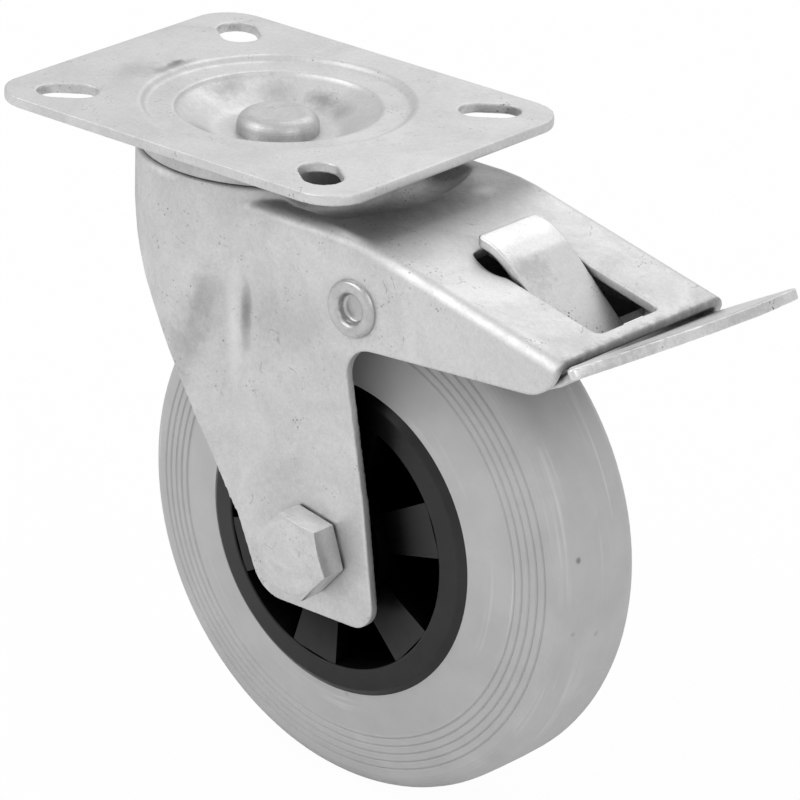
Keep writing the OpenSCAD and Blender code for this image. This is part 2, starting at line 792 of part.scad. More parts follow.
// Section of the tyre: seat, side wall, grooves, shoulder and tread
shoulder_r = (tyre_w - tread_w) / 2 - wall_drop;
shoulder_centre = [wheel_r - 0.1 - shoulder_r, tread_w / 2];
wall_end = wheel_r - 5.3;
groove_pitch = (wall_end - wall_start - 1.5) / 4;
groove_half = 0.36;
rim_lip = [rim_r, rim_w / 2 - 2];
rim_root = [rim_r - 0.7, rim_w / 2 - 4.2];

function wall_y(r) =
    tyre_w / 2 - wall_drop * pow((r - wall_start) / (wall_end - wall_start), 1.5);
function groove_point(r, d) =
    [r + d * groove_half, wall_y(r + d * groove_half) - (d == 0 ? groove_depth : 0)];
function tyre_side() = concat(
    [[seat_r, seat_half], rim_root, rim_lip, rim_lip + [0.9, -0.3], [wall_start, tyre_w / 2]],
    [for (i = [0 : 4], d = [-1, 0, 1]) groove_point(wall_start + 0.9 + i * groove_pitch, d)],
    [for (a = [20 : 10 : 90]) shoulder_centre + shoulder_r * [sin(a), cos(a)]],
    [[wheel_r, tread_w / 4]]);
function mirrored(pts) = [for (i = [len(pts) - 1 : -1 : 0]) [pts[i][0], -pts[i][1]]];

module tyre() {
    color("darkgray") translate([trail, 0, axle_z]) rotate([90, 0, 0])
        rotate_extrude($fn = 120) polygon(concat(tyre_side(), mirrored(tyre_side())));
}

// Rim: barrel, flanges, spokes and hub in one moulding
function rim_side() =
    let (h = rim_w / 2)
    rounded([
        [flange_r - 2, 0, 0],
        [flange_r - 2, h - 7, 0],
        [flange_r, h, 0.5],
        [rim_r - 1.6, h - 0.6, 1.2],
        [rim_lip[0], rim_lip[1], 0],
        [rim_root[0], rim_root[1], 0],
        [seat_r, seat_half, 0],
        [seat_r, 0, 0]], 5);

// Plan of one spoke: it widens from the hub to the flange
module spoke_plan() {
    x0 = bore_r + 1;
    x1 = flange_r - 0.5;
    polygon([[x0, -spoke_root_w / 2], [x1, -spoke_w / 2], [x1, spoke_w / 2], [x0, spoke_root_w / 2]]);
}

bore_r = sleeve_d / 2 + 0.3 + roller_d + 0.05;

module wheel_rim() {
    color([0.13, 0.13, 0.13]) translate([trail, 0, axle_z]) rotate([90, 0, 0])
        difference() {
            union() {
                rotate_extrude($fn = 120)
                    polygon([each rim_side(), each mirrored(rim_side())]);
                cylinder(h = hub_l, r = hub_r, center = true);
                cylinder(h = 3, r = flange_r - 1, center = true);
                for (i = [0 : spoke_count - 1])
                    rotate(spoke_turn + 360 / spoke_count * i)
                        translate([0, 0, -rim_w / 2 + 0.4])
                            linear_extrude(height = rim_w - 0.8) spoke_plan();
            }
            cylinder(h = hub_l + 2 * eps, r = bore_r, center = true);
        }
}

roller_ring_r = sleeve_d / 2 + 0.3 + roller_d / 2;

module rollers() {
    color("silver") translate([trail, 0, axle_z]) rotate([90, 0, 0])
        for (i = [0 : roller_count - 1])
            rotate(360 / roller_count * i) translate([roller_ring_r, 0, 0])
                cylinder(h = roller_l, d = roller_d, center = true, $fn = 24);
}

// Cage: two end rings joined by bars between the rollers
module roller_cage() {
    ring_w = 2;
    l = roller_l + 2 * ring_w + 0.4;
    inner = sleeve_d / 2 + 0.8;
    outer = bore_r - 0.4;
    color("tan") translate([trail, 0, axle_z]) rotate([90, 0, 0])
        difference() {
            cylinder(h = l, r = outer, center = true);
            cylinder(h = l + 2 * eps, r = inner, center = true);
            for (i = [0 : roller_count - 1])
                rotate(360 / roller_count * i)
                    translate([inner - 1, -roller_d / 2 - 0.1, -roller_l / 2 - 0.1])
                        cube([outer, roller_d + 0.2, roller_l + 0.2]);
        }
}

// Cap that closes one end of the hub round the sleeve
module bearing_cap(side) {
    translate([trail, side * hub_l / 2, axle_z]) rotate([-90 * side, 0, 0])
        difference() {
            cylinder(h = cap_t, r = hub_r - 1);
            translate([0, 0, -eps]) cylinder(h = cap_t + 2 * eps, r = sleeve_d / 2 + 0.4);
        }
}

module bearing_cap_near() { color("black") bearing_cap(-1); }
module bearing_cap_far() { color("black") bearing_cap(1); }

top_plate();
king_rivet();
lower_race();
dust_ring();
upper_balls();
lower_balls();
fork_housing();
pivot_rivet_near();
pivot_rivet_far();
axle_bolt();
axle_nut();
axle_sleeve();
brake_pedal();
brake_leaf();
tyre();
wheel_rim();
roller_cage();
rollers();
bearing_cap_near();
bearing_cap_far();
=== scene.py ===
"""Dresses a swivel castor with a total-lock pedal for its studio picture.

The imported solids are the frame. Pressed sheets get copies with soft edges, bolt, nut
and dust ring get copies with broken edges, every piece gets its finish, and the camera
stands where the photograph was taken. Lengths are in metres unless their own words say
millimetres, and angles are in degrees.
"""

from __future__ import annotations

import logging
import math
from collections.abc import Callable
from dataclasses import dataclass, field, replace
from enum import Enum
from typing import TypeAlias

import bpy
import numpy as np
from mathutils import Matrix, Vector

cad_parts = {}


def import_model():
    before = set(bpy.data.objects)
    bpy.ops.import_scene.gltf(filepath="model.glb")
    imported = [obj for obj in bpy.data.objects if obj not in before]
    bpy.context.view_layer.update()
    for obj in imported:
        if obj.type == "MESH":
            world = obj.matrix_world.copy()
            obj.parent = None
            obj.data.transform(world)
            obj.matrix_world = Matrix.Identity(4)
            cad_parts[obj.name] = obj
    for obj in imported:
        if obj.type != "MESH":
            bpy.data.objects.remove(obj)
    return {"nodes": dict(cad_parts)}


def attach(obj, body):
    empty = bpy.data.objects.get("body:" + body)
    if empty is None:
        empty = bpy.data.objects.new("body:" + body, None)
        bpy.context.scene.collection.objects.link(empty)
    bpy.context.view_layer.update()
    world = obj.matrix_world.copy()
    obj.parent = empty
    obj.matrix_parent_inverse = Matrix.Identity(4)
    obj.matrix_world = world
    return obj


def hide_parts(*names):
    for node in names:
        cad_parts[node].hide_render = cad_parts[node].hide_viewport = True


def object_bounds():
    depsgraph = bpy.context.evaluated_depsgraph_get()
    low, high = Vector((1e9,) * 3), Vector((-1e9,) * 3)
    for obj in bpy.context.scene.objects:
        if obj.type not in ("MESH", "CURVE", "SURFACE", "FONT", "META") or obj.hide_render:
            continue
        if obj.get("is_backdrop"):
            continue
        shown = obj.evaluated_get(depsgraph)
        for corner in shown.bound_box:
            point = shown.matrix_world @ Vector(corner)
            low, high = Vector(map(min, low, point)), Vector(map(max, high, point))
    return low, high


log = logging.getLogger("castor")

MM = 0.001
MERGE_REACH = 0.002 * MM

# The axle's middle, in millimetres.
AXLE_PLACE = (36.0, 0.0, -90.0)

Link: TypeAlias = bpy.types.NodeSocket
Pair: TypeAlias = tuple[float, float]
Triple: TypeAlias = tuple[float, float, float]
Reshape: TypeAlias = Callable[[np.ndarray], np.ndarray]


class Slot(Enum):
    """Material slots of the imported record."""

    SHEET = "zinc_sheet"
    RIVET = "zinc_rivet"
    BALL = "ball_steel"
    SPRING = "spring_steel"
    RUBBER = "grey_rubber"
    PLASTIC = "black_plastic"
    CAGE = "cage_plastic"


NODE_SLOTS: dict[str, Slot] = {
    "king_rivet": Slot.RIVET,
    "lower_race": Slot.SHEET,
    "dust_ring": Slot.SHEET,
    "upper_balls": Slot.BALL,
    "lower_balls": Slot.BALL,
    "pivot_rivet_near": Slot.RIVET,
    "pivot_rivet_far": Slot.RIVET,
    "axle_bolt": Slot.RIVET,
    "axle_nut": Slot.RIVET,
    "axle_sleeve": Slot.BALL,
    "brake_leaf": Slot.SPRING,
    "tyre": Slot.RUBBER,
    "wheel_rim": Slot.PLASTIC,
    "roller_cage": Slot.CAGE,
    "rollers": Slot.BALL,
    "bearing_cap_near": Slot.PLASTIC,
    "bearing_cap_far": Slot.PLASTIC,
}


@dataclass(frozen=True)
class StudioCamera:
    """The camera of the photograph, in metres and degrees."""

    azimuth: float = 40.32
    elevation: float = 22.45
    roll: float = 1.52
    distance: float = 1.3531
    aside: float = 0.02723
    above: float = -0.06716
    focal_px: float = 6037.49
    picture_px: float = 800.0
    sensor_mm: float = 36.0
    nearest: float = 0.05

    def axes(self) -> tuple[Vector, Vector, Vector]:
        """Works out the camera's own directions.

        Returns:
            Its right, its up and its backward direction.
        """
        turn = math.radians(self.azimuth)
        tilt = math.radians(self.elevation)
        lean = math.radians(self.roll)
        level_share = math.cos(tilt)
        back = Vector((math.sin(turn) * level_share, -math.cos(turn) * level_share, math.sin(tilt)))
        level = Vector((math.cos(turn), math.sin(turn), 0.0))
        upright = back.cross(level)
        right = level * math.cos(lean) + upright * math.sin(lean)
        up = upright * math.cos(lean) - level * math.sin(lean)
        return right, up, back

    def place(self) -> bpy.types.Object:
        """Adds the camera and makes it the scene's own.

        Returns:
            The camera object.
        """
        right, up, back = self.axes()
        stand = back * self.distance + right * self.aside + up * self.above
        lens = bpy.data.cameras.new("studio_camera")
        lens.sensor_width = self.sensor_mm
        lens.lens = self.focal_px / self.picture_px * self.sensor_mm
        lens.clip_start = self.nearest
        camera = bpy.data.objects.new("studio_camera", lens)
        bpy.context.scene.collection.objects.link(camera)
        turned = Matrix((right, up, back)).transposed().to_4x4()
        camera.matrix_world = Matrix.Translation(stand) @ turned
        bpy.context.scene.camera = camera
        return camera


class Shader:
    """One material's node tree, with short calls that add and join its nodes."""

    SPOT_SCALE = 380.0
    SPOT_SPAN = (0.2, 1.0)
    OPEN_SAMPLES = 6
    OPEN_SPAN = (0.15, 0.9)

    def __init__(self, name: str) -> None:
        """Starts an empty material with one Principled shader.

        Args:
            name: The material's name.
        """
        self.material = bpy.data.materials.new(name)
        self.material.use_nodes = True
        self.tree = self.material.node_tree
        self.tree.nodes.clear()
        self.surface = self.add("ShaderNodeBsdfPrincipled")
        output = self.add("ShaderNodeOutputMaterial")
        self.join(self.surface.outputs["BSDF"], output.inputs["Surface"])
        self.place = self.add("ShaderNodeTexCoord").outputs["Object"]

    def add(self, kind: str, **settings: object) -> bpy.types.Node:
        """Adds a node and sets its properties.

        Args:
            kind: The node's type name.
            **settings: Properties of the node itself.

        Returns:
            The new node.
        """
        node = self.tree.nodes.new(kind)
        for key, value in settings.items():
            setattr(node, key, value)
        return node

    def join(self, source: Link, target: Link) -> None:
        """Links one socket to another."""
        self.tree.links.new(source, target)

    def feed(self, node: bpy.types.Node, **inputs: object) -> bpy.types.Node:
        """Fills a node's inputs by name, with a link or a plain value.

        Args:
            node: The node whose inputs are filled.
            **inputs: Input names in lower case with underscores for spaces.

        Returns:
            The same node.
        """
        named = {}
        for socket in node.inputs:
            named.setdefault(socket.name.lower().replace(" ", "_"), socket)
        for key, value in inputs.items():
            if isinstance(value, Link):
                self.join(value, named[key])
            else:
                named[key].default_value = value
        return node

    def math(self, operation: str, first: object, second: object = 0.0) -> Link:
        """Adds a Math node.

        Args:
            operation: The node's operation.
            first: Its first value or link.
            second: Its second value or link.

        Returns:
            The node's output.
        """
        node = self.add("ShaderNodeMath", operation=operation)
        for socket, value in zip(node.inputs, (first, second)):
            if isinstance(value, Link):
                self.join(value, socket)
            else:
                socket.default_value = value
        return node.outputs[0]

    def vector(
        self, operation: str, first: Link, second: Triple = (0.0, 0.0, 0.0), unit: float = 1.0,
    ) -> bpy.types.Node:
        """Adds a Vector Math node.

        Args:
            operation: The node's operation.
            first: Its first vector.
            second: Its second vector, where it has one.
            unit: What the second vector's numbers are multiplied by.

        Returns:
            The node.
        """
        node = self.add("ShaderNodeVectorMath", operation=operation)
        self.join(first, node.inputs[0])
        node.inputs[1].default_value = [part * unit for part in second]
        return node

    def noise(
        self, scale: float, detail: float = 4.0, rough: float = 0.5, warp: float = 0.0,
        at: Link | None = None,
    ) -> Link:
        """Adds a Noise texture.

        Args:
            scale: Its features per metre.
            detail: Its number of octaves.
            rough: How strong its fine octaves are.
            warp: How much it is distorted.
            at: Coordinates, or the object's own when left out.

        Returns:
            The grey output.
        """
        node = self.add("ShaderNodeTexNoise")
        self.feed(node, vector=at or self.place, scale=scale, detail=detail)
        self.feed(node, roughness=rough, distortion=warp)
        return node.outputs["Fac"]

    def spans(self, value: Link, low: float, high: float, start: float = 0.0, end: float = 1.0) -> Link:
        """Maps a value from one span to another, and clamps it.

        Args:
            value: The value that is mapped.
            low: The lower end of its span.
            high: The upper end of its span.
            start: What the lower end becomes.
            end: What the upper end becomes.

        Returns:
            The mapped value.
        """
        node = self.add("ShaderNodeMapRange")
        self.feed(node, value=value, from_min=low, from_max=high, to_min=start, to_max=end)
        return node.outputs["Result"]

    def blend(self, share: object, first: object, second: object, how: str = "MIX") -> Link:
        """Mixes two colours.

        Args:
            share: How much of the second there is.
            first: The first colour or link.
            second: The second colour or link.
            how: The blend type.

        Returns:
            The mixed colour.
        """
        node = self.add("ShaderNodeMix", data_type="RGBA", blend_type=how)
        for index, value in ((0, share), (6, first), (7, second)):
            if isinstance(value, Link):
                self.join(value, node.inputs[index])
            else:
                node.inputs[index].default_value = value
        return node.outputs[2]

    def bump(self, height: Link, strength: float, depth: float, under: Link | None = None) -> Link:
        """Adds a Bump node.

        Args:
            height: The height texture.
            strength: The strength of the relief.
            depth: The relief's depth, in metres.
            under: A normal that the relief adds to.

        Returns:
            The bumped normal.
        """
        node = self.add("ShaderNodeBump")
        self.feed(node, height=height, strength=strength, distance=depth)
        if under is not None:
            self.join(under, node.inputs["Normal"])
        return node.outputs["Normal"]

    def spot(self, centre: Triple, reach: Triple, ragged: float = 0.7) -> Link:
        """Marks a soft, ragged spot round a point.

        Args:
            centre: The spot's middle, in millimetres.
            reach: Its reach along each axis, in millimetres.
            ragged: How much noise breaks up its edge.

        Returns:
            A grey that is 1 in the middle and 0 outside.
        """
        moved = self.vector("SUBTRACT", self.place, centre, MM)
        scaled = self.vector("DIVIDE", moved.outputs["Vector"], reach, MM)
        span = self.vector("LENGTH", scaled.outputs["Vector"])
        rough_edge = self.noise(self.SPOT_SCALE, detail=8.0, rough=0.72)
        edge = self.math("MULTIPLY_ADD", rough_edge, ragged * 2.0)
        self.join(span.outputs["Value"], edge.node.inputs[2])
        inner, outer = self.SPOT_SPAN
        return self.spans(edge, ragged + inner, ragged + outer, 1.0, 0.0)

    def shade(self, distance: float, floor: float) -> Link:
        """Gives how open a place is, for painted shade in its corners.

        Args:
            distance: How far it looks for other surfaces, in metres.
            floor: The value in the tightest corner.

        Returns:
            A grey from the floor value up to 1.
        """
        openness = self.add("ShaderNodeAmbientOcclusion", samples=self.OPEN_SAMPLES)
        openness.inputs["Distance"].default_value = distance
        return self.spans(openness.outputs["AO"], *self.OPEN_SPAN, floor, 1.0)


def grey(level: float) -> tuple[float, float, float, float]:
    """Gives a grey colour with full alpha."""
    return (level, level, level, 1.0)


@dataclass(frozen=True)
class StainOrPaintedLight:
    """A spot on the plating, in millimetres, with its strength and its grey from 0 to 1. Some are real
    stains; others are painted shade and painted highlights.
    """

    centre: Triple
    reach: Triple
    strength: float
    tone: float = 0.16
    ragged: float = 0.7


@dataclass(frozen=True)
class ZincFinish:
    """Bright zinc plating on steel, with fine grain, cloudy stains, specks and scratches, painted shade
    in its corners, and listed spots that are real stains, painted shade and painted highlights.
    """

    name: str
    pale: float = 0.82
    dull: float = 0.7
    smooth: float = 0.36
    rough: float = 0.52
    stain_scale: float = 55.0
    cloud_span: Pair = (0.5, 0.85)
    mottle_finer: float = 12.0
    mottle_share: float = 0.4
    mottle_relief: float = 0.3
    mottle_depth: float = 0.08 * MM
    grain: float = 0.9
    grain_scale: float = 1500.0
    grain_span: Pair = (0.36, 0.6)
    scratches: float = 0.3
    scratch_tone: float = 0.35
    scratch_scale: float = 95.0
    scratch_width: Pair = (0.006, 0.02)
    scratch_curl: float = 9.0 * MM
    curl_scale: float = 130.0
    scratch_relief: float = -0.2
    scratch_depth: float = 0.05 * MM
    patch_scale: float = 150.0
    patch_span: Pair = (0.57, 0.64)
    specks: float = 0.5
    speck_tone: float = 0.08
    speck_scale: float = 900.0
    speck_width: Pair = (0.12, 0.3)
    cluster_scale: float = 95.0
    cluster_span: Pair = (0.54, 0.64)
    # Painted shade in corners: the share of the colour left in the tightest corner, and how far it
    # looks.
    painted_shade_floor: float = 0.3
    painted_shade_reach: float = 16.0 * MM
    stains_and_painted_light: tuple[StainOrPaintedLight, ...] = ()

    def make(self) -> bpy.types.Material:
        """Builds the material.

        Returns:
            The zinc material.
        """
        shader = Shader(self.name)
        clouds = shader.noise(self.stain_scale, detail=7.0, rough=0.62, warp=0.8)
        mottle = shader.noise(self.stain_scale * self.mottle_finer, detail=5.0, rough=0.7)
        both = shader.math("MULTIPLY_ADD", mottle, self.mottle_share)
        shader.join(clouds, both.node.inputs[2])
        tone = shader.spans(both, *self.cloud_span)
        plating = shader.blend(tone, grey(self.dull), grey(self.pale))
        crystals = shader.noise(self.grain_scale, detail=6.0, rough=0.8, warp=0.4)
        grain = shader.spans(crystals, *self.grain_span, self.grain, 1.0)
        plating = shader.blend(1.0, plating, grain, "MULTIPLY")
        worn_and_painted = self.stained_and_painted(shader, plating)
        hair = self.hair_lines(shader)
        scratch_share = shader.math("MULTIPLY", hair, self.scratches)
        scratched = shader.blend(scratch_share, worn_and_painted, grey(self.dull * self.scratch_tone))
        specked = shader.blend(self.dark_specks(shader), scratched, grey(self.speck_tone))
        # Painted shade: the colour darkens where other surfaces are near.
        painted_shade = shader.shade(self.painted_shade_reach, self.painted_shade_floor)
        coloured = shader.blend(1.0, specked, painted_shade, "MULTIPLY")
        gloss = shader.spans(tone, 0.0, 1.0, self.rough, self.smooth)
        relief = shader.bump(mottle, self.mottle_relief, self.mottle_depth)
        relief = shader.bump(hair, self.scratch_relief, self.scratch_depth, relief)
        shader.feed(shader.surface, base_color=coloured, metallic=1.0, roughness=gloss, normal=relief)
        return shader.material

    def stained_and_painted(self, shader: Shader, plating: Link) -> Link:
        """Lays the listed spots, dark or bright, over the plating: real stains, and painted shade and
        highlights.

        Args:
            shader: The material they are added to.
            plating: The clean plating's colour.

        Returns:
            The colour with its stains and painted light.
        """
        for listed_spot in self.stains_and_painted_light:
            spot = shader.spot(listed_spot.centre, listed_spot.reach, listed_spot.ragged)
            share = shader.math("MULTIPLY", spot, listed_spot.strength)
            plating = shader.blend(share, plating, grey(listed_spot.tone))
        return plating

    def dark_specks(self, shader: Shader) -> Link:
        """Scatters pinhead specks, in clusters.

        Args:
            shader: The material they are added to.

        Returns:
            A grey that is 1 on a speck.
        """
        cells = shader.add("ShaderNodeTexVoronoi")
        shader.feed(cells, vector=shader.place, scale=self.speck_scale)
        dots = shader.spans(cells.outputs["Distance"], *self.speck_width, 1.0, 0.0)
        clouds = shader.noise(self.cluster_scale, detail=5.0, rough=0.75)
        clusters = shader.spans(clouds, *self.cluster_span)
        return shader.math("MULTIPLY", shader.math("MULTIPLY", dots, clusters), self.specks)

    def hair_lines(self, shader: Shader) -> Link:
        """Draws fine curled scratches, in patches.

        Args:
            shader: The material they are added to.

        Returns:
            A grey that is 1 on a scratch.
        """
        wander = shader.add("ShaderNodeTexNoise")
        shader.feed(wander, vector=shader.place, scale=self.curl_scale, detail=4.0)
        shift = shader.add("ShaderNodeVectorMath", operation="MULTIPLY_ADD")
        shader.join(wander.outputs["Color"], shift.inputs[0])
        shift.inputs[1].default_value = [self.scratch_curl] * 3
        shader.join(shader.place, shift.inputs[2])
        cells = shader.add("ShaderNodeTexVoronoi", feature="DISTANCE_TO_EDGE")
        shader.feed(cells, vector=shift.outputs["Vector"], scale=self.scratch_scale)
        line = shader.spans(cells.outputs["Distance"], *self.scratch_width, 1.0, 0.0)
        clouds = shader.noise(self.patch_scale, detail=4.0, rough=0.7)
        patches = shader.spans(clouds, *self.patch_span)
        return shader.math("MULTIPLY", line, patches)


@dataclass(frozen=True)
class RubberFinish:
    """Matte grey rubber with faint streaks round the wheel and small dark specks."""

    name: str = "grey_rubber_tyre"
    pale: float = 0.54
    dull: float = 0.47
    roughness: float = 0.55
    shine: float = 0.35
    tone_scale: float = 70.0
    tone_span: Pair = (0.3, 0.7)
    streak_scale: float = 420.0
    streak_tone: float = 0.85
    streak_share: float = 0.35
    streak_span: Pair = (0.58, 0.7)
    patch_scale: float = 38.0
    patch_span: Pair = (0.48, 0.62)
    speck_scale: float = 120.0
    speck_tone: float = 0.06
    speck_share: float = 0.6
    speck_width: Pair = (0.05, 0.12)
    speck_choice: Pair = (0.74, 0.78)
    grain_scale: float = 1600.0
    grain_relief: float = 0.12
    grain_depth: float = 0.1 * MM
    ridge_scale: float = 900.0
    ridge_relief: float = 0.3
    ring_drift: float = 2.0 * MM

    def make(self) -> bpy.types.Material:
        """Builds the material.

        Returns:
            The rubber material.
        """
        shader = Shader(self.name)
        tone = shader.noise(self.tone_scale, detail=5.0, rough=0.6)
        base = shader.blend(shader.spans(tone, *self.tone_span), grey(self.dull), grey(self.pale))
        rings = self.ring_place(shader)
        streaks = shader.noise(self.streak_scale, detail=3.0, rough=0.6, at=rings)
        patches = shader.spans(shader.noise(self.patch_scale, detail=2.0), *self.patch_span)
        light = shader.math("MULTIPLY", shader.spans(streaks, *self.streak_span), patches)
        streak_share = shader.math("MULTIPLY", light, self.streak_share)
        base = shader.blend(streak_share, base, grey(self.streak_tone))
        cells = shader.add("ShaderNodeTexVoronoi")
        shader.feed(cells, vector=shader.place, scale=self.speck_scale)
        chosen = shader.spans(cells.outputs["Color"], *self.speck_choice)
        dots = shader.spans(cells.outputs["Distance"], *self.speck_width, 1.0, 0.0)
        speck_share = shader.math("MULTIPLY", shader.math("MULTIPLY", dots, chosen), self.speck_share)
        coloured = shader.blend(speck_share, base, grey(self.speck_tone))
        grain = shader.noise(self.grain_scale, detail=3.0)
        relief = shader.bump(grain, self.grain_relief, self.grain_depth)
        ridges = shader.noise(self.ridge_scale, detail=2.0, at=rings)
        relief = shader.bump(ridges, self.ridge_relief, self.grain_depth, relief)
        shader.feed(shader.surface, base_color=coloured, roughness=self.roughness, normal=relief)
        shader.feed(shader.surface, specular_ior_level=self.shine)
        return shader.material

    def ring_place(self, shader: Shader) -> Link:
        """Gives coordinates that hardly change on a turn round the axle.

        Args:
            shader: The material they are added to.

        Returns:
            The distance from the axle, the place along it and a little of the turn.
        """
        centred = shader.vector("SUBTRACT", shader.place, AXLE_PLACE, MM)
        parts = shader.add("ShaderNodeSeparateXYZ")
        shader.join(centred.outputs["Vector"], parts.inputs["Vector"])
        flat = shader.vector("MULTIPLY", centred.outputs["Vector"], (1.0, 0.0, 1.0))
        reach = shader.vector("LENGTH", flat.outputs["Vector"])
        turn = shader.math("ARCTAN2", parts.outputs["Z"], parts.outputs["X"])
        rings = shader.add("ShaderNodeCombineXYZ")
        shader.join(reach.outputs["Value"], rings.inputs["X"])
        shader.join(parts.outputs["Y"], rings.inputs["Y"])
        shader.join(shader.math("MULTIPLY", turn, self.ring_drift), rings.inputs["Z"])
        return rings.outputs["Vector"]


@dataclass(frozen=True)
class PlasticFinish:
    """Moulded plastic with a slight bloom, and painted shade that darkens it in corners and towards the
    axle.
    """

    name: str = "black_moulded_plastic"
    dark: float = 0.006
    bloom: float = 0.014
    smooth: float = 0.26
    rough: float = 0.4
    shine: float = 0.5
    tone_scale: float = 120.0
    tone_span: Pair = (0.4, 0.75)
    gloss_span: Pair = (0.3, 0.7)
    grain_scale: float = 900.0
    grain_relief: float = 0.1
    grain_depth: float = 0.1 * MM
    # Painted shade: how far it looks for corners, and where it deepens round the axle.
    corner_reach: float = 50.0 * MM
    recess_reach: Triple = (44.0, 60.0, 44.0)
    recess_span: Pair = (0.3, 0.62)
    recess_share: float = 0.35
    recess_ragged: float = 0.02

    def make(self) -> bpy.types.Material:
        """Builds the material.

        Returns:
            The plastic material.
        """
        shader = Shader(self.name)
        tone = shader.noise(self.tone_scale, detail=6.0, rough=0.65)
        base = shader.blend(shader.spans(tone, *self.tone_span), grey(self.dark), grey(self.bloom))
        gloss = shader.spans(tone, *self.gloss_span, self.smooth, self.rough)
        grain = shader.noise(self.grain_scale, detail=2.0)
        relief = shader.bump(grain, self.grain_relief, self.grain_depth)
        # Painted shade: darker and less shiny in corners and deep in the wheel towards the axle.
        recess = shader.spot(AXLE_PLACE, self.recess_reach, self.recess_ragged)
        inward = shader.spans(recess, *self.recess_span, 1.0, self.recess_share)
        painted_shade = shader.math("MULTIPLY", shader.shade(self.corner_reach, 0.0), inward)
        base_in_painted_shade = shader.blend(1.0, base, painted_shade, "MULTIPLY")
        shader.feed(shader.surface, base_color=base_in_painted_shade, roughness=gloss, normal=relief)
        shader.feed(shader.surface, specular_ior_level=shader.math("MULTIPLY", painted_shade, self.shine))
        return shader.material


@dataclass(frozen=True)
class SteelFinish:
    """Ground or spring steel, darker than the plating."""

    name: str
    pale: float
    dull: float
    roughness: float
    tone_scale: float = 300.0
    tone_span: Pair = (0.3, 0.7)
    grain_scale: float = 1500.0
    grain_relief: float = 0.08
    grain_depth: float = 0.1 * MM

    def make(self) -> bpy.types.Material:
        """Builds the material.

        Returns:
            The steel material.
        """
        shader = Shader(self.name)
        tone = shader.noise(self.tone_scale, detail=4.0)
        base = shader.blend(shader.spans(tone, *self.tone_span), grey(self.dull), grey(self.pale))
        relief = shader.bump(shader.noise(self.grain_scale), self.grain_relief, self.grain_depth)
        shader.feed(shader.surface, base_color=base, metallic=1.0, normal=relief)
        shader.feed(shader.surface, roughness=self.roughness)
        return shader.material


PLATE_STAINS: tuple[StainOrPaintedLight, ...] = (
    # Dull film on the flat, left of the dish.
    StainOrPaintedLight((-32.5, 0.5, 0.0), (2.2, 9.0, 3.0), 0.45),
    StainOrPaintedLight((-33.6, 2.6, 0.0), (1.6, 3.2, 3.0), 0.7),
    StainOrPaintedLight((-37.0, -8.0, 0.0), (6.0, 9.0, 3.0), 0.2),
    # Darker patches round the dish's slope.
    StainOrPaintedLight((-20.5, 5.0, -3.5), (3.6, 7.5, 3.5), 0.36),
    StainOrPaintedLight((-12.5, 13.5, -4.5), (5.0, 5.0, 3.5), 0.25),
    StainOrPaintedLight((-2.5, 17.5, -4.5), (5.0, 3.4, 3.5), 0.5),
    StainOrPaintedLight((4.5, 16.5, -5.5), (5.0, 3.5, 3.5), 0.3),
    StainOrPaintedLight((-8.0, -16.0, -5.0), (5.0, 5.0, 3.5), 0.3),
)

FORK_STAINS_AND_PAINTED_LIGHT: tuple[StainOrPaintedLight, ...] = (
    # A dark streak that slants down the near side from the crown: painted shade of the pressed valley
    # there, with some real dull wear.
    StainOrPaintedLight((7.0, -30.8, -36.0), (4.6, 6.0, 10.0), 0.22),
    StainOrPaintedLight((4.6, -30.8, -40.5), (4.6, 6.0, 10.0), 0.2),
    StainOrPaintedLight((2.0, -30.8, -47.0), (5.0, 6.0, 11.0), 0.24),
    StainOrPaintedLight((-1.4, -30.6, -54.0), (4.8, 6.0, 10.0), 0.2),
    # The trough: painted shade and dark reflection over it, and a painted highlight at its far side.
    StainOrPaintedLight((42.0, 0.0, -15.0), (11.0, 24.0, 6.0), 0.45),
    StainOrPaintedLight((49.0, 14.0, -12.0), (3.0, 4.0, 3.0), 1.0, 1.0),
    # Painted shade on the side below the crest, then the crease's painted dark line and the painted
    # highlight on its flank.
    StainOrPaintedLight((30.0, -28.0, -38.0), (14.0, 6.0, 10.0), 0.2),
    StainOrPaintedLight((16.9, -28.0, -38.5), (1.7, 8.0, 10.0), 0.5, 0.16, 0.25),
    StainOrPaintedLight((13.6, -28.0, -42.0), (2.6, 8.0, 18.0), 0.45, 1.0, 0.25),
    # The crown: a painted highlight on its rim, and painted shade on its front where it turns away.
    StainOrPaintedLight((-7.0, -31.0, -9.5), (8.0, 6.0, 2.4), 0.9, 1.0),
    StainOrPaintedLight((-22.0, -22.0, -32.0), (7.0, 9.0, 24.0), 0.3, 0.25),
    # The tail's rubbed end.
    StainOrPaintedLight((105.8, 0.0, -26.5), (1.6, 36.0, 5.0), 0.4, 0.2, 1.8),
)

PEDAL_STAINS: tuple[StainOrPaintedLight, ...] = (
    # Where shoes rub: both ends of the blade's edge, then the release tongue.
    StainOrPaintedLight((117.5, -18.0, -23.1), (3.0, 26.0, 6.0), 0.32, 0.2, 1.8),
    StainOrPaintedLight((120.5, 18.0, -22.6), (2.4, 20.0, 6.0), 0.25, 0.2, 1.8),
    StainOrPaintedLight((78.0, -6.0, -19.0), (7.0, 9.0, 6.0), 0.25, 0.2, 1.8),
)

# Painted shade on the ring's side towards the tail, where it sits in the dark under the plate.
RING_PAINTED_SHADE: tuple[StainOrPaintedLight, ...] = (StainOrPaintedLight((28.0, -14.0, -8.0), (22.0, 22.0, 12.0), 0.75),)


